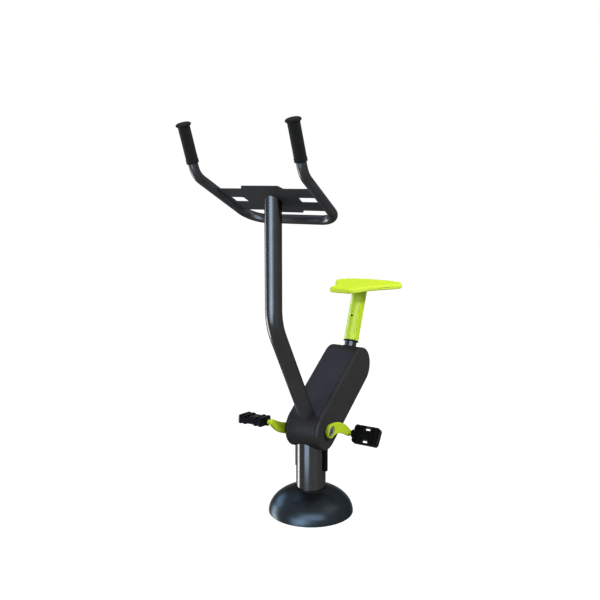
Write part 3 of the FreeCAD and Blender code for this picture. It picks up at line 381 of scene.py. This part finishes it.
def finish_piece(bm, name, body, slot, replaced=(), finish=None):
    """Makes a bmesh a piece of the object, in metres, with its finish and the body that carries it."""
    smooth_angle = math.radians(40.0)
    bmesh.ops.scale(bm, vec=(MM,) * 3, verts=bm.verts)
    mesh = bpy.data.meshes.new(name)
    bm.to_mesh(mesh)
    bm.free()
    if "custom_normal" in mesh.attributes:
        mesh.attributes.remove(mesh.attributes["custom_normal"])
    mesh.shade_smooth()
    mesh.set_sharp_from_angle(angle=smooth_angle)
    mesh.materials.clear()
    mesh.materials.append(finish or FINISHES[slot])
    piece = bpy.data.objects.new(name, mesh)
    bpy.context.scene.collection.objects.link(piece)
    even = piece.modifiers.new("even_shading", "WEIGHTED_NORMAL")
    even.keep_sharp = True
    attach(piece, body)
    if replaced:
        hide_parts(*replaced)


# Base: dome and its seal on the post
def build_dome():
    """Moulded dome with a wide hole at the post, and a rubber seal sunk in the hole."""
    wall = 3.0
    hole = POST_RADIUS + 8.0
    lip = DOME_HEIGHT * math.sqrt(1.0 - (hole / DOME_RADIUS) ** 2)
    bm = bmesh.new()
    arc = bmesh.ops.create_circle(bm, segments=256, radius=1.0, matrix=Matrix.Rotation(math.pi / 2, 4, "X"))
    bmesh.ops.scale(bm, vec=(DOME_RADIUS, 1, DOME_HEIGHT), verts=arc["verts"])
    for normal, place in ((-Z_AXIS, Z_AXIS * 0.0), (-X_AXIS, X_AXIS * hole)):
        bmesh.ops.bisect_plane(bm, geom=everything(bm), plane_co=place, plane_no=normal, clear_outer=True)
    bmesh.ops.spin(bm, geom=everything(bm), cent=(0, 0, 0), axis=Z_AXIS, angle=math.tau, steps=144,
                   use_merge=True)
    bmesh.ops.remove_doubles(bm, verts=bm.verts, dist=TURNED_MERGE)
    bmesh.ops.recalc_face_normals(bm, faces=bm.faces)
    bmesh.ops.solidify(bm, geom=bm.faces[:], thickness=wall)
    soften(bm, 0.9, angle=50.0)
    finish_piece(bm, "dome_cover", "frame", "dark_moulding", ["ground_cover"], DOME_FINISH)

    seal_inner = POST_RADIUS + 0.2
    seal_outer = hole - 0.4
    seal_foot = lip - 12.0
    seal_top = lip + 0.5
    bm = bmesh.new()
    lathe(bm, [(seal_inner, seal_foot), (seal_inner, seal_top), (POST_RADIUS + 2.5, seal_top),
               (hole - 2.0, lip - 1.0), (seal_outer, lip - 2.0), (seal_outer, seal_foot)], (0, 0, 0), Z_AXIS)
    soften(bm, 0.8, angle=20.0)
    finish_piece(bm, "dome_seal", "frame", "black_rubber")


# Housing
def on_seam(edge):
    """True for the outer edges of the housing along the joint of band and cover."""
    slack = 0.1
    for vert in edge.verts:
        out = vert.co - CRANK_AXIS
        along = min(max(0.0, out.dot(HOUSING_BACK)), HOUSING_LENGTH)
        radius = (Vector((out.x, 0, out.z)) - HOUSING_BACK * along).length
        beside = COVER_SEAM - slack < abs(out.y) < COVER_SEAM + COVER_SEAM_GAP + slack
        if abs(radius - HOUSING_RADIUS) > 2 * slack or not beside:
            return False
    return True


def build_housing():
    """Steel band and two moulded covers, with the rounded lips that show the joint as a fine line."""
    seam_round = 2.2
    bm = bench_copy("housing_band")
    soften(bm, seam_round, choose=on_seam)
    finish_piece(bm, "centre_band", "frame", "anthracite_paint", ["housing_band"], BAND_FINISH)
    for side in SIDES:
        bm = bench_copy(f"cover_{side}")
        soften(bm, seam_round, choose=on_seam)
        finish_piece(bm, f"side_cover_{side}", "frame", "dark_moulding", [f"cover_{side}"])


# Frame plates
def build_plates():
    """Laser-cut plates with broken edges: the handlebar plate and the ribs at the post."""
    slot_round = 6.0
    bm = bench_copy("handlebar_plate")
    slot_corners = [e for e in bm.edges if not e.is_convex and e.calc_length() < 1.2 * PLATE_THICKNESS
                    and e.calc_face_angle(0.0) > math.radians(60.0)]
    bmesh.ops.bevel(bm, geom=slot_corners, affect="EDGES", offset=slot_round, segments=5, profile=0.5,
                    material=-1)
    soften(bm, 0.7, segments=2, angle=60.0)
    finish_piece(bm, "bar_plate", "frame", "anthracite_paint", ["handlebar_plate"], PLATE_FINISH)
    for side in SIDES:
        bm = bench_copy(f"side_plate_{side}")
        soften(bm, 1.2, segments=2, angle=60.0)
        # the ribs take the flat black of painted shade
        finish_piece(bm, f"post_rib_{side}", "frame", "anthracite_paint", [f"side_plate_{side}"], RIB_PAINTED_SHADE_FINISH)


# Grips
def build_grips():
    """Rubber grips: two rings at the foot, a plain barrel and a brim over the closed end."""
    collar, barrel, brim = 21.4, 20.2, 26.0
    ring, groove = 4.0, 3.0
    second_ring = ring + groove
    brim_start = GRIP_LENGTH - 12.0
    brim_low, brim_high = brim_start + 5.0, brim_start + 8.0
    brim_chamfer = 4.0
    closed_end = GRIP_LENGTH - 6.0
    profile = [(BAR_RADIUS, 0.0), (collar, 0.0), (collar, ring), (barrel, ring + groove / 2),
               (collar, second_ring), (collar, second_ring + ring), (barrel, second_ring + ring + groove),
               (barrel, brim_start), (brim, brim_low), (brim, brim_high), (brim - brim_chamfer, GRIP_LENGTH),
               (0.0, GRIP_LENGTH), (0.0, closed_end), (BAR_RADIUS, closed_end)]
    for side, sign in SIDES.items():
        foot = CROSSBAR + ARM_UP * ARM_LENGTH + Y_AXIS * (sign * ARM_TOP_Y) + GRIP_UP * ARM_TOP_TO_GRIP
        bm = bmesh.new()
        lathe(bm, profile, foot, GRIP_UP)
        soften(bm, 1.3, angle=25.0)
        finish_piece(bm, f"rubber_grip_{side}", "frame", "black_rubber", [f"grip_{side}"])


# Seat
def build_saddle():
    """Moulded saddle: round rim, slightly dished top, hollow underside."""
    top_round, bottom_round = 8.0, 5.0
    dish_steps = ((3.5, -0.3), (4.0, -0.8), (4.0, -0.5))
    under_rim, under_wall, under_depth = 12.0, 1.5, -8.0
    full_width_below_top = 4.0
    low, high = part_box("saddle")
    bottom, top = low.z / MM, high.z / MM
    level = top - full_width_below_top
    bm = level_outline("saddle", level, Z_AXIS, merge=1.5)
    bmesh.ops.translate(bm, vec=Z_AXIS * (bottom - level), verts=bm.verts)
    under = bmesh.ops.contextual_create(bm, geom=bm.edges[:])["faces"]
    raise_faces(bm, under, Z_AXIS * (top - bottom))
    for height, round_size in ((top, top_round), (bottom, bottom_round)):
        rim = [e for e in bm.edges if all(abs(v.co.z - height) < 0.01 for v in e.verts)]
        bmesh.ops.bevel(bm, geom=rim, affect="EDGES", offset=round_size, segments=7, profile=0.5, material=-1)
    top_face = max(bm.faces, key=lambda f: f.calc_area() if f.normal.z > 0.99 else 0.0)
    for width, drop in dish_steps:
        bmesh.ops.inset_region(bm, faces=[top_face], thickness=width, depth=drop, use_even_offset=True)
    low_face = max(bm.faces, key=lambda f: f.calc_area() if f.normal.z < -0.99 else 0.0)
    for width, drop in ((under_rim, 0.0), (under_wall, under_depth)):
        bmesh.ops.inset_region(bm, faces=[low_face], thickness=width, depth=drop, use_even_offset=True)
    finish_piece(bm, "seat_pan", "seat", "lime_moulding", ["saddle"])


def build_sleeve():
    """Lime tube under the saddle, cut level at its top."""
    spare = 5.0
    bm = bench_copy("seat_sleeve")
    reach = [(v.co - SEAT_POINT).dot(SEAT_UP) for v in bm.verts]
    spread = [(v.co - SEAT_POINT - SEAT_UP * along).length for v, along in zip(bm.verts, reach)]
    sleeve_top = max(v.co.z for v in bm.verts)
    bm.free()
    inner, outer = min(spread), max(spread)
    foot, past_top = min(reach), max(reach) + spare
    bm = bmesh.new()
    lathe(bm, [(inner, foot), (outer, foot), (outer, past_top), (inner, past_top)], SEAT_POINT, SEAT_UP)
    bmesh.ops.bisect_plane(bm, geom=everything(bm), plane_co=Z_AXIS * sleeve_top, plane_no=Z_AXIS,
                           clear_outer=True)
    bmesh.ops.bridge_loops(bm, edges=[e for e in bm.edges if e.is_boundary])
    bmesh.ops.recalc_face_normals(bm, faces=bm.faces)
    soften(bm, 0.8, segments=2, angle=50.0)
    finish_piece(bm, "sleeve_tube", "seat", "lime_paint", ["seat_sleeve"])


def build_lock_screw():
    """Socket screw in the front of the sleeve, its round head a little proud."""
    shank, head, head_round, socket = 3.8, 4.6, 0.9, 1.9
    shank_end, head_under, head_side, head_top, socket_floor = -6.0, 0.6, 2.4, 3.2, 1.0
    bm = bench_copy("seat_lock_screw")
    reach = max(v.co.dot(SEAT_FRONT) for v in bm.verts)
    end = [v.co for v in bm.verts if v.co.dot(SEAT_FRONT) > reach - 0.1]
    middle = sum(end, Vector()) / len(end)
    bm.free()
    bm = bmesh.new()
    lathe(bm, [(0.0, shank_end), (shank, shank_end), (shank, head_under), (head, head_under),
               (head, head_side), (head - head_round, head_top), (socket, head_top), (socket, socket_floor),
               (0.0, socket_floor)], middle, SEAT_FRONT, steps=48, closed=False)
    finish_piece(bm, "lock_screw", "seat", "plain_steel", ["seat_lock_screw"], SCREW_FINISH)


def build_sleeve_bush():
    """Black ring at the sleeve's foot, its edges broken."""
    bm = bench_copy("seat_lower_bush")
    soften(bm, 1.0, angle=50.0)
    finish_piece(bm, "sleeve_bush", "seat", "black_moulding", ["seat_lower_bush"])


# Cranks and pedals
CUP_FLOOR = 85.0


def flat_distance(point, axis_point):
    """Distance from a line along Y."""
    return Vector((point.x - axis_point.x, point.z - axis_point.z)).length


def build_crank(side, sign):
    """Cast crank: round-edged curved arm, a lipped cup round the axle bolt and a stub for the pedal."""
    inner, middle, outer = 76.8, 83.5, 90.0
    hub_end, hub_bore, hub_radius = 66.3, 12.5, 17.0
    cup_start, cup_lip, cup_wall, cup_radius = 75.0, 91.0, 24.3, 21.0
    stub_start, stub_end, stub_radius, stub_bore = 80.0, 100.5, 9.7, 6.0
    axle_bore_reach, pedal_bore_reach = 14.0, 8.0
    arm_round, hub_round = 3.6, 1.3
    outwards = Y_AXIS * sign
    pedal_axis = CRANK_AXIS + tilted(180.0 + CRANK_DROP) * (CRANK_LENGTH * sign)
    bm = level_outline(f"crank_{side}", sign * middle, Y_AXIS, merge=0.8)
    bores = [v for v in bm.verts if flat_distance(v.co, CRANK_AXIS) < axle_bore_reach
             or flat_distance(v.co, pedal_axis) < pedal_bore_reach]
    bmesh.ops.delete(bm, geom=bores, context="VERTS")
    bmesh.ops.translate(bm, vec=outwards * (inner - middle), verts=bm.verts)
    place = Matrix.Translation(CRANK_AXIS + outwards * inner) @ Matrix.Rotation(math.pi / 2, 4, "X")
    bmesh.ops.create_circle(bm, segments=72, radius=cup_wall - 1.0, matrix=place)
    bmesh.ops.triangle_fill(bm, edges=bm.edges[:], use_beauty=True, normal=Y_AXIS)
    raise_faces(bm, bm.faces[:], outwards * (outer - inner))
    bmesh.ops.dissolve_limit(bm, angle_limit=FLAT_ANGLE, verts=bm.verts, edges=bm.edges)
    soften(bm, arm_round, segments=5, angle=60.0, choose=lambda e: all(
        flat_distance(v.co, CRANK_AXIS) > cup_wall for v in e.verts))
    arm = set(bm.verts)
    lathe(bm, [(hub_bore, hub_end), (hub_radius, hub_end), (hub_radius, cup_start), (cup_wall, cup_start),
               (cup_wall, cup_lip), (cup_radius, cup_lip), (cup_radius, CUP_FLOOR), (hub_bore, CUP_FLOOR)],
          CRANK_AXIS, outwards)
    lathe(bm, [(stub_bore, stub_start), (stub_radius, stub_start), (stub_radius, stub_end),
               (stub_bore, stub_end)], pedal_axis, outwards)
    soften(bm, hub_round, segments=3, angle=50.0, choose=lambda e: all(v not in arm for v in e.verts))
    finish_piece(bm, f"crank_arm_{side}", "crankset", "lime_paint", [f"crank_{side}"], CRANK_FINISH)


def build_pedal(side):
    """Black block pedal with its edges broken."""
    bm = bench_copy(f"pedal_{side}")
    soften(bm, 1.2, segments=3, angle=50.0)
    finish_piece(bm, f"pedal_body_{side}", f"{side}_pedal", "black_moulding", [f"pedal_{side}"])


def build_crank_fastenings():
    """The axle bolts and the domed washers that fill the crank cups."""
    bm = bench_copy("crank_bolts")
    soften(bm, 0.7, segments=2, angle=50.0)
    finish_piece(bm, "axle_bolts", "crankset", "plain_steel", ["crank_bolts"])
    bore, dish, crown, shoulder, rim = 5.0, 12.5, 16.0, 18.6, 20.8
    web = CUP_FLOOR + 2.0
    bm = bmesh.new()
    for sign in SIDES.values():
        lathe(bm, [(bore, CUP_FLOOR), (rim, CUP_FLOOR), (rim - 0.2, CUP_FLOOR + 1.2),
                   (shoulder, CUP_FLOOR + 3.4), (crown, CUP_FLOOR + 4.4), (dish + 1.0, CUP_FLOOR + 3.6),
                   (dish, web), (bore, web)], CRANK_AXIS, Y_AXIS * sign)
    soften(bm, 0.8, segments=3, angle=15.0)
    finish_piece(bm, "cup_washers", "crankset", "plain_steel", ["crank_washers"], WASHER_FINISH)


def dress_nodes():
    """Gives every node the finish of its slot, and the mast and the handlebar their own."""
    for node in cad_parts.values():
        for place in node.material_slots:
            place.material = FINISHES[place.material.name]
    for name, finish in (("mast", MAST_FINISH), ("handlebar_tube", BAR_FINISH)):
        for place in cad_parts[name].material_slots:
            place.material = finish


# Camera, floor and light, in metres
SKY_LIGHT = 0.58
GROUND_LIGHT = 0.2
# the light goes from the ground's to the sky's between these upward parts of a direction
GROUND_SLOPE = -0.5
SKY_SLOPE = 0.25
FLOOR_GLOW = 1.37
FLOOR_GLOW_SHARE = 0.62
FLOOR_REACH = 20.0
LAMP_TARGET = (0, 0, 0.7)
WINDOW_DISTANCE = 4.0
WINDOW_EYE_HEIGHT = 0.6


def aim(thing, target):
    """Turns a lamp to face a point."""
    thing.rotation_euler = (Vector(target) - thing.location).to_track_quat("-Z", "Y").to_euler()


def build_camera():
    """The camera that took the photograph."""
    data = bpy.data.cameras.new("photo_camera")
    data.lens = CAMERA_LENS
    data.sensor_width = CAMERA_SENSOR
    camera = bpy.data.objects.new("photo_camera", data)
    camera.location = CAMERA_PLACE
    camera.rotation_euler = [math.radians(a) for a in CAMERA_TURN]
    bpy.context.scene.collection.objects.link(camera)
    bpy.context.scene.camera = camera


def seen_rays(tree):
    """1 for camera, glossy and transmission rays, which see the white background."""
    path = add_node(tree, "ShaderNodeLightPath")
    total = path.outputs["Is Camera Ray"]
    for name in ("Is Glossy Ray", "Is Transmission Ray"):
        total = add_node(tree, "ShaderNodeMath", {"operation": "MAXIMUM"},
                         links={0: total, 1: path.outputs[name]}).outputs[0]
    return total


def build_world():
    """White to the eye and in reflections, soft grey as light on the object."""
    world = bpy.data.worlds.new("studio")
    bpy.context.scene.world = world
    world.use_nodes = True
    tree = world.node_tree
    tree.nodes.clear()
    direction = add_node(tree, "ShaderNodeTexCoord").outputs["Generated"]
    height = add_node(tree, "ShaderNodeSeparateXYZ", links={0: direction}).outputs["Z"]
    level = add_node(tree, "ShaderNodeMapRange", links={"Value": height}, values={
        "From Min": GROUND_SLOPE, "From Max": SKY_SLOPE, "To Min": GROUND_LIGHT, "To Max": SKY_LIGHT})
    soft = add_node(tree, "ShaderNodeBackground", values={"Color": linear("#f6f7f8")},
                    links={"Strength": level.outputs["Result"]})
    white = add_node(tree, "ShaderNodeBackground", values={"Color": (1, 1, 1, 1), "Strength": 1.0})
    mix = add_node(tree, "ShaderNodeMixShader",
                   links={0: seen_rays(tree), 1: soft.outputs[0], 2: white.outputs[0]})
    add_node(tree, "ShaderNodeOutputWorld", links={"Surface": mix.outputs[0]})


def build_floor():
    """Plain pale floor that keeps a faint shadow."""
    bm = bmesh.new()
    bmesh.ops.create_grid(bm, x_segments=1, y_segments=1, size=FLOOR_REACH)
    mesh = bpy.data.meshes.new("floor")
    bm.to_mesh(mesh)
    bm.free()
    floor = bpy.data.objects.new("floor", mesh)
    bpy.context.scene.collection.objects.link(floor)
    material = bpy.data.materials.new("pale_floor")
    material.use_nodes = True
    tree = material.node_tree
    tree.nodes.clear()
    matt = add_node(tree, "ShaderNodeBsdfDiffuse", values={"Color": linear("#e6e6e6")})
    glow = add_node(tree, "ShaderNodeEmission", values={"Color": (1, 1, 1, 1), "Strength": FLOOR_GLOW})
    share = add_node(tree, "ShaderNodeMath", {"operation": "MULTIPLY"}, {1: FLOOR_GLOW_SHARE},
                     {0: seen_rays(tree)})
    mix = add_node(tree, "ShaderNodeMixShader",
                   links={0: share.outputs[0], 1: matt.outputs[0], 2: glow.outputs[0]})
    add_node(tree, "ShaderNodeOutputMaterial", links={"Surface": mix.outputs[0]})
    mesh.materials.append(material)
    floor.visible_glossy = False
    floor.visible_diffuse = False
    floor.visible_shadow = False


def area_light(name, place, target, size, power, colour="#ffffff"):
    """A rectangular lamp at a place, facing a target."""
    data = bpy.data.lights.new(name, "AREA")
    data.shape = "RECTANGLE"
    data.size, data.size_y = size
    data.energy = power
    data.color = linear(colour)[:3]
    light = bpy.data.objects.new(name, data)
    light.location = place
    aim(light, target)
    bpy.context.scene.collection.objects.link(light)
    return light


def reflected_window(name, azimuth, half_width, low, high, radiance, colour):
    """A window that only shows in gloss: its directions are degrees from +X and above the horizon."""
    bottom = WINDOW_EYE_HEIGHT + WINDOW_DISTANCE * math.tan(math.radians(low))
    top = WINDOW_EYE_HEIGHT + WINDOW_DISTANCE * math.tan(math.radians(high))
    width = 2 * WINDOW_DISTANCE * math.tan(math.radians(half_width))
    towards = Vector((math.cos(math.radians(azimuth)), math.sin(math.radians(azimuth)), 0))
    place = towards * WINDOW_DISTANCE + Z_AXIS * (bottom + top) / 2
    power = radiance * width * (top - bottom) * math.pi
    light = area_light(name, place, (0, 0, place.z), (width, top - bottom), power, colour)
    light.visible_diffuse = False
    light.visible_camera = False


def build_lights():
    """Two plain lamps for the light, and the windows that the gloss mirrors."""
    for name, place, size, power in (("key", (-0.9, 3.3, 3.2), 0.8, 106.0),
                                     ("front_fill", (3.1, -1.5, 1.6), 1.6, 52.0)):
        lamp = area_light(name, place, LAMP_TARGET, (size, size), power)
        lamp.visible_glossy = False
    # azimuth, half width, lowest and highest direction, radiance, colour
    for name, *window in (("front_window", -2.0, 18.0, -26.0, 12.0, 13.0, "#c9e6ff"),
                          ("front_wide_window", 14.0, 18.0, -13.0, 12.0, 6.0, "#c9e6ff"),
                          ("broad_window", 53.0, 33.0, -32.0, 12.0, 0.35, "#ffffff"),
                          ("low_strip", -83.0, 12.0, -36.0, -14.0, 40.0, "#fffdf6"),
                          ("side_strip", -87.0, 11.0, -14.0, 5.5, 24.0, "#f8fdff"),
                          ("high_window", 33.0, 35.0, 14.0, 44.0, 12.0, "#cbe0fb"),
                          ("left_high_window", -98.0, 17.0, 9.0, 26.0, 17.0, "#c6e4ff"),
                          ("left_sky_window", -94.0, 30.0, 48.0, 72.0, 2.2, "#a0b4ff"),
                          ("right_high_window", 105.0, 25.0, 30.0, 62.0, 2.0, "#ffffff")):
        reflected_window(name, *window)


build_camera()
build_world()
build_floor()
build_lights()
dress_nodes()
build_dome()
build_housing()
build_plates()
build_grips()
build_saddle()
build_sleeve()
build_lock_screw()
build_sleeve_bush()
for side, sign in SIDES.items():
    build_crank(side, sign)
    build_pedal(side)
build_crank_fastenings()

bpy.context.scene.view_settings.view_transform = "Standard"
